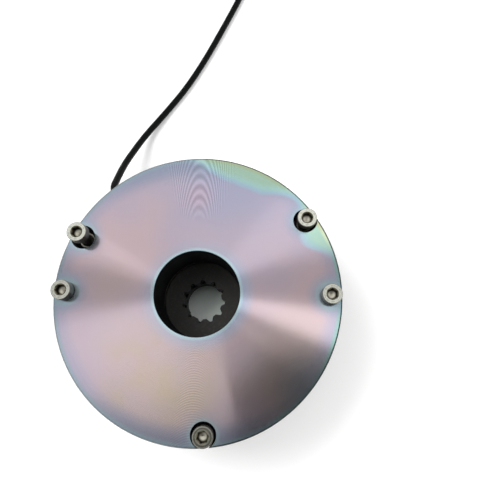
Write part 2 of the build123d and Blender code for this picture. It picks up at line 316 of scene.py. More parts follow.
def edge_tint(tree, x, y, r, colour):
    """A blue rim, darker above, with painted shade below and brown and slate at the lower right, and a
    green edge.
    """
    near = tree.ramp(r, BODY_R - 11 * MM, BODY_R - 2 * MM)
    colour = tree.mix(tree.times(near, 0.6), colour, RIM_BLUE)
    high = tree.times(tree.ramp(y, 44 * MM, 66 * MM), tree.ramp(r, BODY_R - 16 * MM, BODY_R - 3 * MM))
    colour = tree.mix(tree.times(high, 0.8), colour, HIGH_RIM_BLUE)
    # Painted shade: the rim is darkened to blue-grey towards -y
    low = tree.times(tree.ramp(r, BODY_R - 13 * MM, BODY_R - 2 * MM), tree.ramp(y, -46 * MM, -68 * MM))
    colour = tree.mix(tree.times(low, 0.75), colour, LOW_RIM_SHADE)
    # Partly painted shade: a brown patch that darkens the lower right
    colour = patched(tree, x, y, colour, BROWN_SHADE_PATCH)
    edge = tree.ramp(r, BODY_R - 3.4 * MM, BODY_R - 0.9 * MM)
    edge_colour = tree.mix(tree.ramp(x, 20 * MM, 70 * MM), EDGE_GREY, EDGE_GREEN)
    colour = tree.mix(tree.times(edge, 0.75), colour, edge_colour)
    # Partly painted shade: a slate patch that darkens the lower right of the rim
    return patched(tree, x, y, colour, SLATE_SHADE_PATCH)


def halo_tint(tree, x, y, colour):
    """Blue and cyan halos round the screws."""
    for node in MOUNTING + RELEASE:
        at = middle(node)
        away = tree.distance(x, y, at.x, at.y)
        blue = 0.35 if node == "mounting_screw_bottom" else 0.65
        colour = tree.mix(tree.times(tree.ramp(away, 14 * MM, 6 * MM), blue), colour, HALO_BLUE)
        colour = tree.mix(tree.times(tree.ramp(away, 9 * MM, 6.6 * MM), 0.5), colour, HALO_CYAN)
    return colour


# Bands of the rim's crescents: depth from and to in millimetres, upper and lower crescent's colour
CRESCENT_BANDS = [
    (-2, 1, (172, 200, 217), (190, 212, 228)),
    (0.5, 3, (174, 211, 206), (186, 222, 222)),
    (2.5, 6.5, (174, 206, 186), (192, 228, 212)),
]
UPPER_DEPTH = 9 * MM
LOWER_DEPTH = 10.5 * MM
CRESCENT_FRINGE = 2.6 * MM
CRESCENT_WAVE = 3 * MM
LOWER_GOLD = rgb(228, 244, 208)
MIDDLE_GOLD = rgb(208, 211, 166)
UPPER_GOLD = rgb(182, 196, 158)


def crescents(tree, x, y, r, colour):
    """Green and yellow crescents on one side of the rim. Bearings are in degrees from +x."""
    bearing = tree.times(tree.math("ARCTAN2", y, x), 180 / math.pi)
    wave = tree.minus(tree.noise(tree.vector(x, y, 0.0), 60.0, 1.0), 0.5)
    upper = tree.times(tree.ramp(bearing, 44, 60), tree.ramp(bearing, 96, 76))
    lower = tree.times(tree.ramp(bearing, 12, 26), tree.ramp(bearing, 44, 27))
    width = tree.plus(tree.times(upper, UPPER_DEPTH), tree.times(lower, LOWER_DEPTH))
    width = tree.plus(width, tree.math("MULTIPLY_ADD", wave, CRESCENT_WAVE, CRESCENT_FRINGE))
    depth = tree.plus(tree.minus(r, BODY_R), width)
    window = tree.times(tree.ramp(bearing, 12, 23), tree.ramp(bearing, 98, 86))
    below = tree.ramp(bearing, 42, 34)
    for low, high, upper_tint, lower_tint in CRESCENT_BANDS:
        inside = tree.ramp(depth, low * MM, high * MM)
        tint = tree.mix(below, rgb(*upper_tint), rgb(*lower_tint))
        colour = tree.mix(tree.times(inside, window), colour, tint)
    gold = tree.ramp(r, BODY_R - 3.2 * MM, BODY_R - 1.2 * MM)
    shown = tree.times(lower, tree.ramp(bearing, 17, 24))
    shown = tree.math("MAXIMUM", shown, tree.times(upper, 0.8))
    tint = tree.mix(tree.ramp(bearing, 25, 31), LOWER_GOLD, MIDDLE_GOLD)
    tint = tree.mix(tree.ramp(bearing, 36, 50), tint, UPPER_GOLD)
    return tree.mix(tree.times(gold, shown), colour, tint)


# Figures where the turning marks run in step: how far a wave is stretched along y, half width
# over height, height above or below the axis where it fades in, in millimetres, and its strength
MARK_PITCH = 0.207 * MM
FIGURE_X = 0.8 * MM
ARCHES = (-0.9655, 0.31, 36, 52, 1.0)
RIPPLES = (1.172, 0.19, 25, 31, 0.42)


def figure(tree, x, y, r, stretch, spread, low, high, strength):
    phase = tree.plus(r, tree.times(y, stretch))
    wave = tree.math("SINE", tree.times(phase, math.tau / MARK_PITCH))
    height = tree.math("MAXIMUM", tree.times(y, math.copysign(1.0, -stretch)), 1 * MM)
    away = tree.math("ABSOLUTE", tree.minus(x, FIGURE_X))
    wedge = tree.ramp(tree.math("DIVIDE", away, height), spread, spread * 0.75)
    window = tree.times(wedge, tree.ramp(height, low * MM, high * MM))
    return tree.times(wave, tree.times(window, strength))


def turning_figures(tree, x, y, r):
    """Faint arches above the bore, and below it ripples that grow stronger towards the rim."""
    growth = tree.blend(tree.ramp(y, -30 * MM, -50 * MM), 0.8, 1.25)
    ripples = tree.times(figure(tree, x, y, r, *RIPPLES), growth)
    return tree.plus(figure(tree, x, y, r, *ARCHES), ripples)


def stator_face(tree, x, y, r):
    """The turned face's colour: its tints, its figures and the shade of its rings."""
    colour = bore_tint(tree, x, y, r, face_tint(tree, x, y))
    colour = halo_tint(tree, x, y, edge_tint(tree, x, y, r, colour))
    colour = crescents(tree, x, y, r, colour)
    shade = tree.blend(rings(tree, r, SHADE_RING_PITCH), 1.01, 0.99)
    shade = tree.plus(shade, tree.times(turning_figures(tree, x, y, r), 0.16))
    streaks = tree.noise(tree.vector(r, 0.0, 5.0), 1.0 / MM, 4.0, 0.7)
    shade = tree.plus(shade, tree.times(tree.minus(streaks, 0.5), 0.05))
    return tree.mix(1.0, colour, tree.grey(shade), "MULTIPLY")


def stator_side(tree, point, z, r, lines, grain):
    """The side's colour, with broad bands and a few stains, and painted shade on the walls of the
    holes.
    """
    side = tree.mix(lines, rgb(152, 151, 152), rgb(172, 170, 168))
    bands = tree.ramp(tree.noise(tree.vector(z, 3.0, 1.0), 160.0, 1.0), 0.35, 0.65)
    side = tree.mix(bands, side, rgb(160, 156, 154))
    stain = tree.ramp(tree.noise(point, 22.0, 4.0, 0.6), 0.52, 0.74)
    side = tree.mix(tree.times(stain, 0.25), side, rgb(128, 116, 106))
    # Painted shade: all of the body below the face but its outer side, the bore and counterbores among
    # it, is near black
    hole_wall_shade = tree.mix(grain, rgb(20, 20, 23), rgb(34, 33, 36))
    outside = tree.ramp(r, BODY_R - 0.8 * MM, BODY_R - 0.5 * MM)
    return tree.mix(outside, hole_wall_shade, side)


def stator_steel(tree):
    point, x, y, z = tree.place()
    r = tree.distance(x, y)
    grain = tree.noise(point, 1200.0, 3.0)
    lines = tree.ramp(turning_lines(tree, z, 0.5 * MM, 7.0), 0.25, 0.75)
    below = tree.ramp(z, FACE_Z - 0.05 * MM, FACE_Z - 0.3 * MM)
    side = stator_side(tree, point, z, r, lines, grain)
    colour = tree.mix(below, stator_face(tree, x, y, r), side)
    # Painted shade: a dark line along the rim's chamfer, strongest towards +x
    rim_shade_line = tree.times(
        tree.ramp(r, BODY_R - 0.85 * MM, BODY_R - 0.6 * MM),
        tree.ramp(z, FACE_Z - 0.9 * MM, FACE_Z - 0.6 * MM),
        tree.blend(tree.ramp(x, -15 * MM, 15 * MM), 0.45, 1.0),
    )
    colour = tree.mix(rim_shade_line, colour, rgb(48, 56, 54))
    grooves = tree.ramp(rings(tree, r, RING_PITCH, 3.1), 0.45, 0.75)
    face_rough = tree.blend(grooves, LAND_ROUGH, GROOVE_ROUGH)
    rough = tree.blend(below, face_rough, tree.blend(grain, 0.28, 0.40))
    normal = tree.bump(tree.times(lines, below), 0.06, 0.02 * MM)
    finish_material(
        tree, colour, rough, 1.0, normal, tree.round_tangent(),
        Anisotropic=1.0, Anisotropic_Rotation=0.25,
    )


PLATE_HOLE_SHADE_R = 17 * MM


def turned_plate(base, dark):
    """A turned plate: rings on its faces, lines round its side, and painted shade round its hole."""

    def build(tree):
        point, x, y, z = tree.place()
        r = tree.distance(x, y)
        facing = tree.add("ShaderNodeTexCoord").outputs["Normal"]
        upright = tree.math("ABSOLUTE", tree.add("ShaderNodeSeparateXYZ", {0: facing}).outputs[2])
        along = tree.blend(tree.ramp(upright, 0.4, 0.8), z, r)
        lines = tree.ramp(turning_lines(tree, along, 0.7 * MM, 5.0), 0.30, 0.70)
        colour = tree.mix(lines, dark, base)
        stain = tree.ramp(tree.noise(point, 24.0, 4.0, 0.6), 0.50, 0.75)
        colour = tree.mix(tree.times(stain, 0.3), colour, rgb(122, 106, 92))
        worn_edge = tree.line(upright, 0.7, 0.2, 0.0)
        colour = tree.mix(tree.times(worn_edge, 0.6), colour, rgb(196, 194, 190))
        # Painted shade: near black round the hole, where the plate lies in shadow under the hub
        plate_hole_shade = tree.ramp(r, PLATE_HOLE_SHADE_R, PLATE_HOLE_SHADE_R - 3 * MM)
        colour = tree.mix(plate_hole_shade, colour, rgb(34, 32, 30))
        rough = tree.blend(tree.noise(point, 1500.0, 2.0), 0.28, 0.44)
        finish_material(
            tree, colour, rough, 1.0, tree.bump(lines, 0.05, 0.02 * MM), tree.round_tangent(),
            Anisotropic=0.7, Anisotropic_Rotation=0.25,
        )

    return build


HUB_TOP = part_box("rotor_hub")[1].z
SPLINE_ROOT_R = 13 * MM


def hub_steel(tree):
    """Black oxide with a cast grain and pale pits, with painted shade inside the spline."""
    point, x, y, z = tree.place()
    r = tree.distance(x, y)
    grain = tree.noise(point, 1500.0, 4.0, 0.7)
    colour = tree.mix(grain, rgb(42, 42, 44), rgb(68, 67, 66))
    cloud = tree.noise(point, 180.0, 3.0)
    colour = tree.mix(tree.times(cloud, 0.5), colour, rgb(56, 54, 46))
    pits = tree.ramp(tree.noise(point, 900.0, 2.0), 0.56, 0.66)
    colour = tree.mix(tree.times(pits, 0.3), colour, rgb(88, 86, 82))
    # Painted shade: near black inside the spline, below its top
    below = tree.ramp(z, HUB_TOP - 0.1 * MM, HUB_TOP - 0.5 * MM)
    inside = tree.times(below, tree.ramp(r, SPLINE_ROOT_R + 1 * MM, SPLINE_ROOT_R))
    colour = tree.mix(inside, colour, rgb(16, 16, 17))
    finish_material(tree, colour, tree.blend(grain, 0.45, 0.7), 0.2, tree.bump(grain, 0.4, 0.05 * MM))


def friction_lining(tree):
    """Moulded friction material: dark resin with pale fibres and a few brass chips."""
    point = tree.place()[0]
    fibre = tree.ramp(tree.noise(point, 900.0, 4.0, 0.7, 1.5), 0.55, 0.68)
    colour = tree.mix(fibre, rgb(62, 54, 48), rgb(110, 98, 86))
    inputs = {"Vector": point, "Scale": 1300.0, "Randomness": 1.0}
    cells = tree.add("ShaderNodeTexVoronoi", inputs).outputs["Distance"]
    some = tree.ramp(tree.noise(point, 260.0, 1.0), 0.56, 0.64)
    chips = tree.times(tree.ramp(cells, 0.25, 0.15), some)
    colour = tree.mix(chips, colour, rgb(176, 142, 84))
    rough = tree.blend(chips, 0.88, 0.4)
    finish_material(tree, colour, rough, 0.0, tree.bump(fibre, 0.5, 0.06 * MM))


# A socket screw's steel, in the screw's own frame: its axis at the origin, its head's underside at 0

BRIGHT_STEEL = rgb(230, 231, 219)
# Painted shade: a darker steel for the bottom screw's head, with paler painted highlight lines
SHADED_SCREW_STEEL = rgb(150, 149, 135)
SHADED_SCREW_HIGHLIGHT = rgb(224, 224, 212)
LIP_SHADE = rgb(140, 136, 120)
CHAMFER_SHADE = rgb(56, 54, 46)
KNURL_CREST = rgb(158, 151, 138)
KNURL_VALLEY_SHADE = rgb(48, 45, 41)
SHANK_PALE = rgb(150, 144, 132)
SHANK_DARK = rgb(98, 94, 84)
SOCKET_SHADE = rgb(56, 54, 44)
SOCKET_PALE = rgb(116, 112, 94)
DRILL_HIGHLIGHT = rgb(222, 218, 200)


def head_top(tree, point, r, turned, bright, edge):
    """A speckled ring between two painted highlight lines, with painted shade on its lip and chamfer.
    """
    worn = darker(bright, 0.45)
    top = tree.mix(tree.times(turned, 0.3), bright, worn)
    specks = tree.ramp(tree.noise(point, 1300.0, 2.0), 0.60, 0.68)
    top = tree.mix(tree.times(specks, 0.6), top, darker(bright, 0.2))
    mottle = tree.ramp(tree.noise(point, 560.0, 3.0, 0.7), 0.44, 0.60)
    top = tree.mix(tree.times(mottle, 0.5), top, worn)
    # Painted highlights: bright lines near the head's edge and round the socket, in the edge colour
    outer_highlight = tree.line(r, HEAD_R - 0.42 * MM, 0.28 * MM, 0.12 * MM)
    top = tree.mix(outer_highlight, top, edge)
    inner_highlight = tree.line(r, SOCKET_LIP + 0.3 * MM, 0.22 * MM, 0.08 * MM)
    top = tree.mix(tree.times(inner_highlight, 0.6), top, edge)
    # Painted shade: a darker lip round the socket, and a dark line on the head's outer chamfer
    beyond_lip = tree.ramp(r, SOCKET_LIP - 0.05 * MM, SOCKET_LIP + 0.12 * MM)
    top = tree.mix(beyond_lip, LIP_SHADE, top)
    chamfer = tree.ramp(r, HEAD_R - 0.45 * MM, HEAD_R - 0.25 * MM)
    return tree.mix(tree.times(chamfer, 0.6), top, CHAMFER_SHADE)


def socket_inside(tree, r, z):
    """Walls with painted shade that lightens towards the mouth, and a painted highlight on the drilled
    floor.
    """
    up = tree.ramp(z, SOCKET_FLOOR + 0.2 * MM, HEAD_H - 0.5 * MM)
    wall = tree.mix(up, SOCKET_SHADE, SOCKET_PALE)
    on_floor = tree.ramp(z, SOCKET_FLOOR + 0.3 * MM, SOCKET_FLOOR)
    drilled = tree.times(tree.ramp(r, DRILL_R, DRILL_R - 1.1 * MM), on_floor)
    return tree.mix(drilled, wall, DRILL_HIGHLIGHT)


def screw_steel(bright=BRIGHT_STEEL, edge=BRIGHT_STEEL):
    """A screw's steel, whose head has a top of one colour and painted highlight lines of another."""

    def build(tree):
        point, x, y, z = tree.place()
        r = tree.distance(x, y)
        fine = tree.noise(point, 2200.0, 3.0)
        turned = rings(tree, r, 0.18 * MM, 2.0)
        on_top = tree.ramp(z, HEAD_H - 0.22 * MM, HEAD_H - 0.08 * MM)
        # Painted shade in the knurl's valleys
        valley_shade = tree.ramp(r, HEAD_R - 0.02 * MM, HEAD_R - KNURL_DEPTH)
        side = tree.mix(valley_shade, KNURL_CREST, KNURL_VALLEY_SHADE)
        shank = tree.mix(turned, SHANK_PALE, SHANK_DARK)
        side = tree.mix(tree.ramp(z, 0.0, -0.3 * MM), side, shank)
        colour = tree.mix(on_top, side, head_top(tree, point, r, turned, bright, edge))
        inside = tree.times(
            tree.ramp(r, SOCKET_LIP - 0.15 * MM, SOCKET_LIP - 0.3 * MM),
            tree.ramp(z, SOCKET_FLOOR - 1.3 * MM, SOCKET_FLOOR - 1.1 * MM),
        )
        colour = tree.mix(inside, colour, socket_inside(tree, r, z))
        rough = tree.blend(on_top, tree.blend(fine, 0.30, 0.42), tree.blend(fine, 0.16, 0.24))
        finish_material(tree, colour, rough, 1.0, tree.bump(fine, 0.08, 0.03 * MM))

    return build


def plain(base, rough, metallic=0.0, grain=900.0, strength=0.1, spread=0.25, **further):
    """A surface with a fine grain in its colour, roughness and height."""

    def build(tree):
        point = tree.place()[0]
        fine = tree.noise(point, grain, 4.0, 0.6)
        coarse = tree.noise(point, grain / 12, 3.0, 0.5)
        colour = tree.mix(tree.ramp(coarse, 0.35, 0.65), darker(base, 1 - spread), base)
        uneven = tree.math("MULTIPLY_ADD", fine, 0.16, rough - 0.08)
        normal = tree.bump(fine, strength, 0.05 * MM)
        finish_material(tree, colour, uneven, metallic, normal, **further)

    return build


BUILDS = {
    "stator_steel": stator_steel,
    "plate_steel": turned_plate(rgb(172, 170, 167), rgb(122, 120, 118)),
    "hub_steel": hub_steel,
    "carrier_steel": plain(rgb(104, 104, 106), 0.5, 1.0),
    "rivet_steel": plain(rgb(140, 136, 130), 0.4, 1.0),
    "friction_lining": friction_lining,
    "screw_steel": screw_steel(),
    # Sleeves: zinc plating, partly a painted highlight, made pale so that their tops glint in the
    # counterbores
    "sleeve_steel": plain(rgb(228, 224, 212), 0.28, 1.0, grain=1500.0, strength=0.05, spread=0.2),
    "spring_steel": plain(rgb(90, 88, 88), 0.35, 1.0),
    "winding_copper": plain(rgb(176, 98, 60), 0.3, 1.0, grain=600.0, strength=0.2, spread=0.3),
    "bobbin_plastic": plain(rgb(52, 52, 54), 0.6, grain=800.0, strength=0.15),
    "potting_resin": plain(rgb(30, 30, 32), 0.3, grain=300.0, strength=0.08),
    "grommet_rubber": plain(rgb(30, 30, 30), 0.6, grain=1200.0, strength=0.2),
    "lead_jacket": plain(rgb(8, 10, 9), 0.5, grain=1600.0, strength=0.12, Specular_IOR_Level=0.1),
    "tie_plastic": plain(rgb(36, 36, 36), 0.45, grain=1200.0),
    "connector_plastic": plain(rgb(40, 40, 43), 0.5, grain=1500.0, strength=0.15),
    "contact_metal": plain(rgb(208, 200, 176), 0.25, 1.0, grain=1500.0, strength=0.05),
}
MATERIALS = {slot: material(slot, build) for slot, build in BUILDS.items()}
# Painted shade: a darker copy of the screw steel for the bottom screw, with paler painted highlight
# lines
SHADED_SCREW = material("screw_steel_shaded", screw_steel(SHADED_SCREW_STEEL, SHADED_SCREW_HIGHLIGHT))

for name, obj in frame["nodes"].items():
    obj.data.materials.clear()
    obj.data.materials.append(MATERIALS[SLOT_OF[name]])


# Meshes

SHARP_ANGLE = math.radians(35)


def from_bmesh(name, made):
    """A new object from a bmesh, smooth except along its sharp edges."""
    bmesh.ops.recalc_face_normals(made, faces=made.faces)
    for face in made.faces:
        face.smooth = True
    for edge in made.edges:
        if len(edge.link_faces) == 2 and edge.calc_face_angle(0.0) > SHARP_ANGLE:
            edge.smooth = False
    mesh = bpy.data.meshes.new(name)
    made.to_mesh(mesh)
    made.free()
    obj = bpy.data.objects.new(name, mesh)
    bpy.context.scene.collection.objects.link(obj)
    return obj


def loft(sections, close_start=True, loop=False, into=None):
    """A skin over sections of as many points each. An end is closed with a fan."""
    made = into or bmesh.new()
    rows = [[made.verts.new(p) for p in section] for section in sections]
    count = len(rows[0])
    pairs = list(zip(rows, rows[1:])) + ([(rows[-1], rows[0])] if loop else [])
    for a, b in pairs:
        for i in range(count):
            j = (i + 1) % count
            made.faces.new((a[i], a[j], b[j], b[i]))
    ends = [rows[0], rows[-1]] if close_start else [rows[-1]]
    for row in [] if loop else ends:
        centre = made.verts.new(sum((v.co for v in row), Vector()) / count)
        for i in range(count):
            made.faces.new((row[i], row[(i + 1) % count], centre))
    return made


def dress(obj, *nodes, finish=None):
    """Gives a piece the body, slot and material of the first of the nodes that it replaces."""
    slot = SLOT_OF[nodes[0]]
    obj.data.materials.append(finish or MATERIALS[slot])
    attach(obj, BODY_OF[nodes[0]])
    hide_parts(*nodes)
    return obj


# Socket-head screws, each in its own frame: its axis at the origin, its head's underside at 0

COLUMNS = 96
RINGS_PER_PITCH = 6
# How fast a thread rises from its root to its crest, over the half pitch
FLANK_SLOPE = 2.3


def ring_at(z, radius):
    """Points round the z axis. radius is a number, or a function of the angle."""
    angles = [math.tau * i / COLUMNS for i in range(COLUMNS)]
    at = [radius(a) if callable(radius) else radius for a in angles]
    return [(q * math.cos(a), q * math.sin(a), z) for q, a in zip(at, angles)]


def hexagon(apothem):
    sector = math.pi / 3
    return lambda a: apothem / math.cos((a % sector) - sector / 2)


def thread(height, crest, root):
    """A thread's radius by angle, at a height above the thread's start."""

    def radius(a):
        phase = (height / PITCH - a / math.tau) % 1.0
        return root + (crest - root) * min(1.0, abs(phase - 0.5) * FLANK_SLOPE)

    return radius


def screw_rings(length, thread_length):
    """The rings of a screw's skin, from the middle of its socket to its tip."""

    def knurl(radius):
        return lambda a: radius - KNURL_DEPTH * (round(a / math.tau * COLUMNS) % 2)

    profile = [
        (SOCKET_FLOOR - 1.0 * MM, 0.15 * MM),
        (SOCKET_FLOOR, DRILL_R),
        (SOCKET_FLOOR, hexagon(SOCKET_APOTHEM)),
        (HEAD_H - 0.35 * MM, hexagon(SOCKET_APOTHEM)),
        (HEAD_H - 0.04 * MM, SOCKET_LIP),
        (HEAD_H, SOCKET_LIP + 0.06 * MM),
        (HEAD_H, SOCKET_LIP + 0.14 * MM),
        (HEAD_H, HEAD_R - 0.34 * MM),
        (HEAD_H, HEAD_R - 0.28 * MM),
        (HEAD_H - 0.05 * MM, HEAD_R - 0.14 * MM),
        (HEAD_H - 0.16 * MM, HEAD_R - 0.05 * MM),
        (HEAD_H - 0.3 * MM, HEAD_R - 0.03 * MM),
        (HEAD_H - 0.45 * MM, knurl(HEAD_R)),
        (0.5 * MM, knurl(HEAD_R)),
        (0.15 * MM, HEAD_R - 0.3 * MM),
        (0.0, HEAD_R - 0.5 * MM),
        (0.0, SHANK_R + 0.33 * MM),
        (-0.35 * MM, SHANK_R),
        (thread_length - length + PITCH, SHANK_R),
    ]
    for i in range(int(thread_length / PITCH * RINGS_PER_PITCH)):
        z = thread_length - length - i * PITCH / RINGS_PER_PITCH
        profile.append((z, thread(z + length, THREAD_R, THREAD_ROOT)))
    profile.append((-length, TIP_R))
    return [ring_at(z, radius) for z, radius in profile]


# A leaning screw turns about a point this far above its tip
LEAN_PIVOT = 18.0 * MM


def socket_screw(node, thread_length, turn, lean=(0.0, 0.0)):
    """A screw as long as its box, less what its lean takes. It leans within its sleeve's play."""
    low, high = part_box(node)
    at = middle(node)
    tilt = HEAD_R * (abs(lean[0]) + abs(lean[1]))
    length = high.z - HEAD_H - low.z - 1.5 * tilt
    obj = from_bmesh(node.replace("screw", "socket_screw"), loft(screw_rings(length, thread_length)))
    obj.data.transform(Matrix.Rotation(math.radians(turn), 4, "Z"))
    leaning = Matrix.Rotation(-lean[1], 4, "X") @ Matrix.Rotation(lean[0], 4, "Y")
    pivot = Matrix.Translation((at.x, at.y, low.z + 0.5 * tilt + LEAN_PIVOT))
    obj.matrix_world = pivot @ leaning @ Matrix.Translation((0.0, 0.0, length - LEAN_PIVOT))
    return dress(obj, node, finish=SHADED_SCREW if node == "mounting_screw_bottom" else None)


MOUNTING_THREAD = 24.0 * MM
RELEASE_THREAD = 20.0 * MM
# How far each socket is turned, in degrees
SOCKET_TURNS = {
    "mounting_screw_top_right": 8,
    "mounting_screw_top_left": 22,
    "mounting_screw_bottom": 14,
    "release_screw_left": 3,
    "release_screw_right": 27,
}
# How far the mounting screws lean towards +x and +y, in radians
LEANS = {
    "mounting_screw_top_left": (0.0102, 0.0037),
    "mounting_screw_top_right": (0.011, 0.0),
    "mounting_screw_bottom": (0.0082, 0.0),
}
for node in MOUNTING:
    socket_screw(node, MOUNTING_THREAD, SOCKET_TURNS[node], LEANS[node])
for node in RELEASE:
    socket_screw(node, RELEASE_THREAD, SOCKET_TURNS[node])


# Spacer sleeves, each with a hexagon at its foot and a thread above it

SLEEVE_R = 4.5 * MM
SLEEVE_ROOT = 4.1 * MM
SLEEVE_BORE = 3.45 * MM
SLEEVE_HEX_APOTHEM = 3.85 * MM
SLEEVE_HEX_TOP = 4.2 * MM
SLEEVE_NECK_R = 3.75 * MM
SLEEVE_NECK_TOP = 5.0 * MM
# The sleeve's top stays this far below its box, so that a leaning screw's head clears it
SLEEVE_DROP = 0.25 * MM


def threaded_sleeve(node):
    low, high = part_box(node)
    at = middle(node)
    height = high.z - low.z - SLEEVE_DROP
    profile = [
        (0.3 * MM, SLEEVE_BORE),
        (0.0, SLEEVE_BORE + 0.2 * MM),
        (0.0, SLEEVE_NECK_R - 0.05 * MM),
        (0.15 * MM, hexagon(SLEEVE_HEX_APOTHEM)),
        (SLEEVE_HEX_TOP - 0.15 * MM, hexagon(SLEEVE_HEX_APOTHEM)),
        (SLEEVE_HEX_TOP, SLEEVE_NECK_R),
        (SLEEVE_NECK_TOP, SLEEVE_NECK_R),
    ]
    threaded = height - SLEEVE_NECK_TOP - 0.6 * MM
    for i in range(int(threaded / PITCH * RINGS_PER_PITCH)):
        up = i * PITCH / RINGS_PER_PITCH
        profile.append((SLEEVE_NECK_TOP + 0.2 * MM + up, thread(up, SLEEVE_R, SLEEVE_ROOT)))
    profile += [
        (height - 0.25 * MM, SLEEVE_ROOT),
        (height, SLEEVE_ROOT - 0.2 * MM),
        (height, SLEEVE_BORE + 0.2 * MM),
        (height - 0.2 * MM, SLEEVE_BORE),
    ]
    skin = loft([ring_at(z, radius) for z, radius in profile], loop=True)
    obj = from_bmesh(node.replace("sleeve", "threaded_sleeve"), skin)
    obj.location = (at.x, at.y, low.z)
    return dress(obj, node)


for node in SLOT_OF:
    if node.startswith("spacer_sleeve"):
        threaded_sleeve(node)


# The lead: its route from the strain relief to the coil, the coil's turns and its tail

LEAD_D = 4.2 * MM
EXIT_ANGLE = math.radians(131.0)
EXIT_DIRECTION = Vector((math.cos(EXIT_ANGLE), math.sin(EXIT_ANGLE), 0.0))
EXIT_Z = 30.4 * MM
NOSE_R = 77.5 * MM
EXIT_RUN = 8.6 * MM
LYING_Z = 2.15 * MM
LEAD_EXIT = EXIT_DIRECTION * NOSE_R + Vector((0.0, 0.0, EXIT_Z))
LEAD_FIRST = LEAD_EXIT + EXIT_DIRECTION * EXIT_RUN
LEAD_ROUTE = [
    (-0.0553, 0.0765, 0.0236),
    (-0.0538, 0.0879, 0.0168),
    (-0.0496, 0.1012, 0.0102),
    (-0.0440, 0.1149, 0.0044),
    (-0.0327, 0.1311, LYING_Z),
    (-0.0175, 0.1520, LYING_Z),
    (-0.0045, 0.1755, LYING_Z),
    (0.0065, 0.1985, LYING_Z),
    (0.0158, 0.2185, LYING_Z),
    (0.0210, 0.2310, LYING_Z),
    (0.0228, 0.2430, LYING_Z),
]
TAIL_ROUTE = [
    (-0.0100, 0.2760, 0.0105),
    (-0.0180, 0.2759, 0.0098),
    (-0.0260, 0.2751, 0.0075),
    (-0.0335, 0.2736, 0.0050),
    (-0.0400, 0.2718, 0.0037),
    (-0.0450, 0.2704, 0.0035),
]
coil_low, coil_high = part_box("cable_coil")
COIL_CENTRE = (coil_low + coil_high) / 2
COIL_R = (coil_high.x - coil_low.x - LEAD_D) / 2
COIL_TURNS = 2.25
POINTS_PER_TURN = 16
# Where the turns climb onto the next layer, in turns round the coil
CLIMB_START = 300 / 360
CLIMB_END = 390 / 360
TIE_THICK = 0.9 * MM
# The turns lie on the tie's strap as far round as the first angle, and clear of it past the second
LIFT_FULL = math.radians(18)
LIFT_GONE = math.radians(48)
tie_low, tie_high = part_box("cable_tie")
tie_middle = (tie_low + tie_high) / 2
TIE_ANGLE = math.atan2(tie_middle.y - COIL_CENTRE.y, tie_middle.x - COIL_CENTRE.x)


def smooth_step(t):
    t = min(1.0, max(0.0, t))
    return t * t * (3 - 2 * t)


def coil_points():
    """Turns that lie flat and climb one diameter over the place where the lead comes in."""
    # The spline runs inside its points by this share
    spline_share = (3 + math.cos(math.tau / POINTS_PER_TURN)) / 4
    reach = COIL_R / spline_share
    points = []
    for i in range(1, int(COIL_TURNS * POINTS_PER_TURN)):
        turns = i / POINTS_PER_TURN
        climbed = [(turns - CLIMB_START - k) / (CLIMB_END - CLIMB_START) for k in range(2)]
        layer = sum(smooth_step(share) for share in climbed)
        angle = math.tau * turns
        off_tie = abs((angle - TIE_ANGLE + math.pi) % math.tau - math.pi)
        lift = TIE_THICK * smooth_step((LIFT_GONE - off_tie) / (LIFT_GONE - LIFT_FULL))
        x = COIL_CENTRE.x + reach * math.cos(angle)
        y = COIL_CENTRE.y + reach * math.sin(angle)
        points.append((x, y, LEAD_D * (0.5 + layer) + lift))
    return points


def lead():
    points = [LEAD_EXIT, LEAD_FIRST] + LEAD_ROUTE + coil_points() + TAIL_ROUTE
    data = bpy.data.curves.new("brake_lead", "CURVE")
    data.dimensions = "3D"
    data.resolution_u = 10
    data.bevel_depth = LEAD_D / 2
    data.bevel_resolution = 7
    data.use_fill_caps = True
    line = data.splines.new("NURBS")
    line.points.add(len(points) - 1)
    for made, point in zip(line.points, points):
        made.co = (*point, 1.0)
    line.order_u = 3
    line.use_endpoint_u = True
    obj = bpy.data.objects.new("brake_lead", data)
    bpy.context.scene.collection.objects.link(obj)
    return dress(obj, "lead_cable", "lead_tail", "cable_coil")


# The tie round the coil, in its own frame: x outward from the coil, y along the turn, z up

TIE_HALF_WIDTH = 1.5 * MM
TIE_EDGE = 0.12 * MM
TIE_LAYERS = 3
BAND_STRAIGHT_STEPS = 6
BAND_BEND_STEPS = 12
LOCK_MIDDLE = 4.95 * MM
LOCK_HALF = (1.9 * MM, 2.0 * MM)
LOCK_CORNER = 0.45 * MM
LOCK_HEIGHT = 4.0 * MM
TAIL_MIDDLE = 4.55 * MM
TAIL_HALF_WIDTH = 1.25 * MM
TAIL_STEPS = 12
TAIL_STEP = 0.2 * MM
TAIL_SLANT = 0.16
TOOTH = 0.14 * MM


def rounded(half_a, half_b, corner, steps=4):
    """Points round a rectangle with round corners, as pairs."""
    points = []
    for quarter, (side_a, side_b) in enumerate(((1, 1), (-1, 1), (-1, -1), (1, -1))):
        for i in range(steps + 1):
            angle = math.pi / 2 * (quarter + i / steps)
            a = side_a * (half_a - corner) + corner * math.cos(angle)
            b = side_b * (half_b - corner) + corner * math.sin(angle)
            points.append((a, b))
    return points


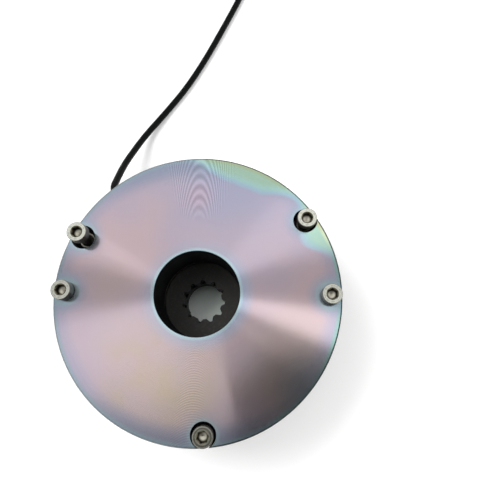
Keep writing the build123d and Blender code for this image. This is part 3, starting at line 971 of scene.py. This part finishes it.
def tie_band():
    """The strap's sections round the stacked turns, and the height of the turns' middle."""
    half_thick = TIE_THICK / 2
    bend = LEAD_D / 2 + half_thick
    straight = (TIE_LAYERS - 1) * LEAD_D / 2
    centre_z = TIE_THICK + TIE_LAYERS * LEAD_D / 2
    section = rounded(TIE_HALF_WIDTH, half_thick, TIE_EDGE, 1)
    path = []
    for side in (1, -1):
        facing = 0.0 if side == 1 else math.pi
        for i in range(1, BAND_STRAIGHT_STEPS):
            path.append((side * bend, side * straight * (2 * i / BAND_STRAIGHT_STEPS - 1), facing))
        for i in range(BAND_BEND_STEPS + 1):
            angle = math.pi * i / BAND_BEND_STEPS + facing
            path.append((bend * math.cos(angle), side * straight + bend * math.sin(angle), angle))
    rows = []
    for x, z, angle in path:
        outward, up = math.cos(angle), math.sin(angle)
        rows.append([(x + out * outward, across, centre_z + z + out * up) for across, out in section])
    return rows, centre_z


def coil_tie():
    """A strap with its lock outside and its toothed tail cut off short."""
    rows, centre_z = tie_band()
    made = loft(rows, loop=True)
    half = LOCK_HEIGHT / 2
    # The lock's rounded ends: height from its middle, and inset
    levels = [
        (-half, 0.3 * MM),
        (-half + 0.12 * MM, 0.1 * MM),
        (-half + 0.3 * MM, 0.0),
        (half - 0.3 * MM, 0.0),
        (half - 0.12 * MM, 0.1 * MM),
        (half, 0.3 * MM),
        (half, 0.55 * MM),
    ]
    lock = []
    for level, inset in levels:
        outline = rounded(LOCK_HALF[0] - inset, LOCK_HALF[1] - inset, LOCK_CORNER)
        lock.append([(LOCK_MIDDLE + a, b, centre_z + level) for a, b in outline])
    loft(lock, into=made)
    tail = []
    for i in range(TAIL_STEPS + 1):
        level = centre_z + half - 0.4 * MM + i * TAIL_STEP
        inner = (TOOTH if i % 2 else 0.0) - TIE_THICK / 2
        slant = TAIL_SLANT if i == TAIL_STEPS else 0.0
        outline = rounded(TIE_THICK / 2, TAIL_HALF_WIDTH, TIE_EDGE, 1)
        tail.append([(TAIL_MIDDLE + max(a, inner), b, level + slant * b) for a, b in outline])
    loft(tail, into=made)
    obj = from_bmesh("coil_tie", made)
    place = Matrix.Translation((COIL_CENTRE.x, COIL_CENTRE.y, 0.0)) @ Matrix.Rotation(TIE_ANGLE, 4, "Z")
    obj.matrix_world = place @ Matrix.Translation((COIL_R, 0.0, 0.0))
    return dress(obj, "cable_tie")


# The connector on the lead's end, in its own frame: x along it from the end of the lead

PLUG_TURN = math.radians(195.5)
PLUG_AXIS = 3.5 * MM
BOOT_LENGTH = 8.0 * MM
BOOT_NOSE_R = 2.7 * MM
BOOT_END_R = 3.5 * MM
RIBS = 5
RIB_PITCH = 1.5 * MM
# A rib of the boot and the groove after it: along the boot and how deep, in millimetres
RIB = [(0, 0), (0.85, 0), (0.97, 0.4), (1.38, 0.4)]
PLUG_LENGTH = 20.0 * MM
PLUG_CORNER = 0.8 * MM
GRIP_HALF = (4.85 * MM, 3.1 * MM)
SHELL_HALF = (5.2 * MM, 3.15 * MM)
RIM_HALF = (5.5 * MM, 3.5 * MM)
MOUTH_HALF = (4.3 * MM, 2.3 * MM)
MOUTH_DEPTH = 8.0 * MM
GRIP_GROOVES = 4
GROOVE_PITCH = 1.1 * MM
# A groove of the grip: along the housing and how deep, in millimetres
GROOVE = [(1.4, 0), (1.5, 0.25), (1.9, 0.25), (2.0, 0)]
# The side rails and the latch: along the housing and how far out of it, in millimetres
RAIL = [(6.6, 0.02), (6.9, 0.14), (17.9, 0.14)]
LATCH = [(7.2, 0.02), (7.6, 0.12), (14.6, 0.12), (15.0, 0.16), (16.2, 0.16), (16.4, 0.02)]
RAIL_HALF_HEIGHT = 0.7 * MM
LATCH_HALF_WIDTH = 1.9 * MM
TRIM_EDGE = 0.05 * MM


def place_on_lead(obj):
    end = Vector((*TAIL_ROUTE[-1][:2], PLUG_AXIS))
    obj.matrix_world = Matrix.Translation(end) @ Matrix.Rotation(PLUG_TURN, 4, "Z")
    return obj


def ribbed_boot():
    """The tapered sleeve between the lead and the connector, with grooves that let it bend."""
    profile = [
        (1.0 * MM, BOOT_NOSE_R - 0.65 * MM),
        (0.0, BOOT_NOSE_R - 0.5 * MM),
        (0.0, BOOT_NOSE_R - 0.15 * MM),
    ]
    for i in range(RIBS):
        for along, depth in RIB:
            at = (0.15 + along) * MM + i * RIB_PITCH
            radius = BOOT_NOSE_R + (BOOT_END_R - BOOT_NOSE_R) * at / BOOT_LENGTH
            profile.append((at, radius - depth * MM))
    profile += [
        (BOOT_LENGTH - 0.3 * MM, BOOT_END_R - 0.05 * MM),
        (BOOT_LENGTH, BOOT_END_R - 0.05 * MM),
        (BOOT_LENGTH, BOOT_END_R - 0.6 * MM),
    ]
    rows = [[(at, y, x) for x, y, z in ring_at(0.0, radius)] for at, radius in profile]
    obj = place_on_lead(from_bmesh("ribbed_boot", loft(rows, close_start=False)))
    return dress(obj, "plug_boot")


def connector():
    """The housing: a ribbed grip, a body with side rails and a latch, and an open mouth."""
    start = BOOT_LENGTH
    end = BOOT_LENGTH + PLUG_LENGTH
    wide, high = GRIP_HALF
    stations = [
        (start, wide - 0.55 * MM, high - 0.5 * MM),
        (start + 0.15 * MM, wide - 0.2 * MM, high - 0.15 * MM),
        (start + 0.4 * MM, wide, high),
    ]
    for i in range(GRIP_GROOVES):
        for along, depth in GROOVE:
            at = start + along * MM + i * GROOVE_PITCH
            stations.append((at, wide - depth * MM, high - depth * MM))
    stations += [
        (start + 6.2 * MM, wide, high),
        (start + 6.5 * MM, *SHELL_HALF),
        (end - 2.2 * MM, *SHELL_HALF),
        (end - 2.0 * MM, *RIM_HALF),
        (end - 0.2 * MM, *RIM_HALF),
        (end, RIM_HALF[0] - 0.2 * MM, RIM_HALF[1] - 0.2 * MM),
        (end, MOUTH_HALF[0] + 0.2 * MM, MOUTH_HALF[1] + 0.2 * MM),
        (end - 0.2 * MM, *MOUTH_HALF),
        (end - MOUTH_DEPTH, *MOUTH_HALF),
    ]
    shell = []
    for at, half_a, half_b in stations:
        shell.append([(at, a, b) for a, b in rounded(half_a, half_b, PLUG_CORNER)])
    made = loft(shell)
    for side in (1, -1):
        rail = []
        for along, out in RAIL:
            outline = rounded(TRIM_EDGE + out * MM, RAIL_HALF_HEIGHT, TRIM_EDGE, 1)
            centre = side * (SHELL_HALF[0] - TRIM_EDGE + out * MM)
            rail.append([(start + along * MM, centre + a, b) for a, b in outline])
        loft(rail, into=made)
    latch = []
    for along, out in LATCH:
        outline = rounded(LATCH_HALF_WIDTH, TRIM_EDGE + out * MM, TRIM_EDGE, 1)
        latch.append([(start + along * MM, a, SHELL_HALF[1] + out * MM + b) for a, b in outline])
    loft(latch, into=made)
    obj = place_on_lead(from_bmesh("connector_housing", made))
    return dress(obj, "plug_housing")


brake_lead = lead()
coil_tie()
ribbed_boot()
connector()


# Floor, light and camera

FLOOR_HALF = 8.0
FLOOR_DARK = (0.86, 0.86, 0.86, 1.0)
FLOOR_PALE = (0.90, 0.90, 0.90, 1.0)
# Painted light under the bore: the floor's grey-green cast and the glow of a light pool
FLOOR_CAST_IN_BORE = (0.76, 0.86, 0.80, 1.0)
LIGHT_POOL_IN_BORE = 0.09
GLOW_NEAR = 0.14


def floor():
    """A pale floor that keeps the object's shadow and fades to white away from it, with painted light
    under the bore.
    """
    made = bmesh.new()
    signs = ((-1, -1), (1, -1), (1, 1), (-1, 1))
    made.faces.new([made.verts.new((sx * FLOOR_HALF, sy * FLOOR_HALF, 0.0)) for sx, sy in signs])
    obj = from_bmesh("studio_floor", made)

    def build(tree):
        rays = tree.add("ShaderNodeLightPath").outputs
        seen = tree.plus(rays["Is Camera Ray"], rays["Is Glossy Ray"])
        seen = tree.math("ADD", seen, rays["Is Transmission Ray"], clamp=True)
        point, x, y = tree.place()[:3]
        r = tree.distance(x, y)
        colour = tree.mix(tree.noise(point, 60.0, 3.0), FLOOR_DARK, FLOOR_PALE)
        # Painted light: a grey-green cast on the floor under the bore
        colour = tree.mix(tree.ramp(r, 22 * MM, 15 * MM), colour, FLOOR_CAST_IN_BORE)
        # Painted light: a pool of glow under the bore that grows towards -y
        bore_light_pool = tree.blend(tree.ramp(y, 12 * MM, -12 * MM), 0.0, LIGHT_POOL_IN_BORE)
        glow = tree.blend(tree.ramp(r, 60 * MM, 80 * MM), bore_light_pool, GLOW_NEAR)
        glow = tree.blend(tree.ramp(r, 350 * MM, 1100 * MM), glow, 1.0)
        finish_material(
            tree, colour, 0.9, Specular_IOR_Level=0.0,
            Emission_Color=(1.0, 1.0, 1.0, 1.0), Emission_Strength=tree.times(seen, glow),
        )

    obj.data.materials.append(material("studio_floor", build))


# What the turned face mirrors is laid out by slope, the sideways part of a direction over its
# height, round the slope that the grooves' light runs through for the photograph's camera.

HUB_SLOPE = (-0.126, 0.131)
LEAST_HEIGHT = 0.05
# The light from low down and from high up, and the share that the side of -y loses
LEVEL_LOW = 0.40
LEVEL_HIGH = 0.90
LOWER_SHARE = 0.72
# Soft boxes low round the sides: how many, how far they are turned, and their strength
SIDE_BOXES = 3.0
SIDE_BOX_TURN = 0.7
SIDE_BOX_GAIN = 0.42
# Sectors round the hub's slope: bearing and half width in degrees, reach from and to, softness of
# the near end, turn in degrees per unit of reach, and the share of light that they take
DIM_SECTORS = [
    (8, 12.5, 0.05, 0.8, 0.3, 32, 0.44),
    (177, 13, 0.04, 0.75, 0.3, 0, 0.51),
    (24, 9, 0.02, 0.12, 0.3, 0, 0.14),
    (-32, 11, 0.245, 1.3, 0.12, 0, 0.66),
    (-24, 8, 0.04, 0.26, 0.3, 0, 0.30),
]
# The same for the dark core, which a slanted line cuts off on its left
CORE_SECTORS = [
    (-59, 25, 0.07, 1.3, 0.3, 0, 0.34),
    (-57, 24, 0.195, 1.3, 0.1, 0, 0.93),
]
CORE_SLANT = 0.166
CORE_BEND = 0.5
CORE_BEND_FROM = -0.11
CORE_EDGE = (-0.068, -0.057)
# The same for the lit sectors, with the light that they add
LIT_SECTORS = [
    (-14, 7, 0.10, 0.85, 0.3, 0, 0.62),
    (154, 4, 0.15, 0.7, 0.3, 0, 0.24),
    (-136, 36, 0.06, 0.7, 0.3, 0, 0.16),
    (38, 13, 0.10, 0.6, 0.3, 0, 0.18),
]
# A sector turns more and more from the first reach on, until the second is added to it
SKEW_FROM = 0.19
SKEW_UP_TO = 0.1


def world():
    made = bpy.data.worlds.new("studio")
    bpy.context.scene.world = made
    tree = Tree(made)
    rays = tree.add("ShaderNodeLightPath").outputs
    direction = tree.add("ShaderNodeTexCoord").outputs["Generated"]
    x, y, z = tree.add("ShaderNodeSeparateXYZ", {0: direction}).outputs
    height = tree.math("MAXIMUM", z, LEAST_HEIGHT)
    slope_x = tree.math("DIVIDE", x, height)
    slope_y = tree.math("DIVIDE", y, height)
    away_x = tree.minus(slope_x, HUB_SLOPE[0])
    away_y = tree.minus(slope_y, HUB_SLOPE[1])
    bearing = tree.math("ARCTAN2", away_y, away_x)
    reach = tree.distance(slope_x, slope_y, *HUB_SLOPE)

    def sector(degrees, half_width, near, far, softness, skew):
        """A soft patch round a bearing, between two reaches."""
        turn = tree.minus(bearing, math.radians(degrees))
        inner = tree.math("MINIMUM", tree.minus(reach, SKEW_FROM), SKEW_UP_TO)
        turn = tree.math("MULTIPLY_ADD", inner, math.radians(skew), turn)
        turn = tree.math("ABSOLUTE", tree.math("WRAP", turn, math.pi, -math.pi))
        width = tree.ramp(turn, math.radians(half_width * 1.5), math.radians(half_width * 0.5))
        start = tree.ramp(reach, near * (1 - softness), near * (1 + softness))
        return tree.times(width, tree.times(start, tree.ramp(reach, far * 1.25, far * 0.75)))

    def dim(level, patch, share):
        return tree.times(level, tree.minus(1.0, tree.times(patch, share)))

    level = tree.blend(tree.ramp(z, -0.1, 0.75), LEVEL_LOW, LEVEL_HIGH)
    azimuth = tree.math("ARCTAN2", y, x)
    boxes = tree.math("COSINE", tree.math("MULTIPLY_ADD", azimuth, SIDE_BOXES, SIDE_BOX_TURN))
    boxes = tree.times(boxes, tree.ramp(z, 0.62, 0.30))
    level = tree.times(level, tree.math("MULTIPLY_ADD", boxes, SIDE_BOX_GAIN, 1.0))
    lower = tree.times(tree.ramp(slope_y, -0.03, -0.19), tree.ramp(reach, 1.3, 0.8))
    level = dim(level, lower, LOWER_SHARE)
    for *patch, share in DIM_SECTORS:
        level = dim(level, sector(*patch), share)
    slanted = tree.math("MULTIPLY_ADD", slope_y, CORE_SLANT, slope_x)
    bend = tree.math("MAXIMUM", tree.minus(CORE_BEND_FROM, slope_y), 0.0)
    right_of_edge = tree.ramp(tree.math("MULTIPLY_ADD", bend, CORE_BEND, slanted), *CORE_EDGE)
    for *patch, share in CORE_SECTORS:
        level = dim(level, tree.times(right_of_edge, sector(*patch)), share)
    for *patch, gain in LIT_SECTORS:
        level = tree.plus(level, tree.times(sector(*patch), gain))
    colour = tree.grey(tree.blend(rays["Is Camera Ray"], level, 1.0))
    background = tree.add("ShaderNodeBackground", {"Color": colour, "Strength": 1.0})
    output = tree.add("ShaderNodeOutputWorld")
    tree.links.new(background.outputs[0], output.inputs[0])


LAMP_TARGET = Vector((0.0, 0.0, 0.05))


def area_lamp(name, place, size, power):
    data = bpy.data.lights.new(name, "AREA")
    data.shape = "RECTANGLE"
    data.size, data.size_y = size
    data.energy = power
    obj = bpy.data.objects.new(name, data)
    obj.location = place
    obj.rotation_mode = "QUATERNION"
    obj.rotation_quaternion = (LAMP_TARGET - Vector(place)).to_track_quat("-Z", "Y")
    obj.visible_glossy = False
    bpy.context.scene.collection.objects.link(obj)


CAMERA_PLACE = Vector((30.7, -31.9, 298.0)) * MM
CAMERA_RIGHT = Vector((0.99943, 0.00809, -0.03269))
CAMERA_UP = Vector((0.0, 0.97072, 0.24023))
CAMERA_FORWARD = Vector((-0.03368, 0.24009, -0.97017))
FOCAL_PIXELS = 472.7
PHOTO_PIXELS = 480.0


def camera():
    data = bpy.data.cameras.new("photo_camera")
    data.sensor_width = 36.0
    data.lens = data.sensor_width * FOCAL_PIXELS / PHOTO_PIXELS
    data.clip_start = 0.01
    obj = bpy.data.objects.new("photo_camera", data)
    turn = Matrix((CAMERA_RIGHT, CAMERA_UP, -CAMERA_FORWARD)).transposed().to_4x4()
    obj.matrix_world = Matrix.Translation(CAMERA_PLACE) @ turn
    bpy.context.scene.collection.objects.link(obj)
    bpy.context.scene.camera = obj


floor()
world()
area_lamp("key", (-0.55, 0.35, 0.85), (0.6, 0.6), 9.0)
area_lamp("side", (0.75, -0.28, 0.55), (0.3, 0.5), 4.0)
camera()
bpy.context.scene.view_settings.view_transform = "Standard"
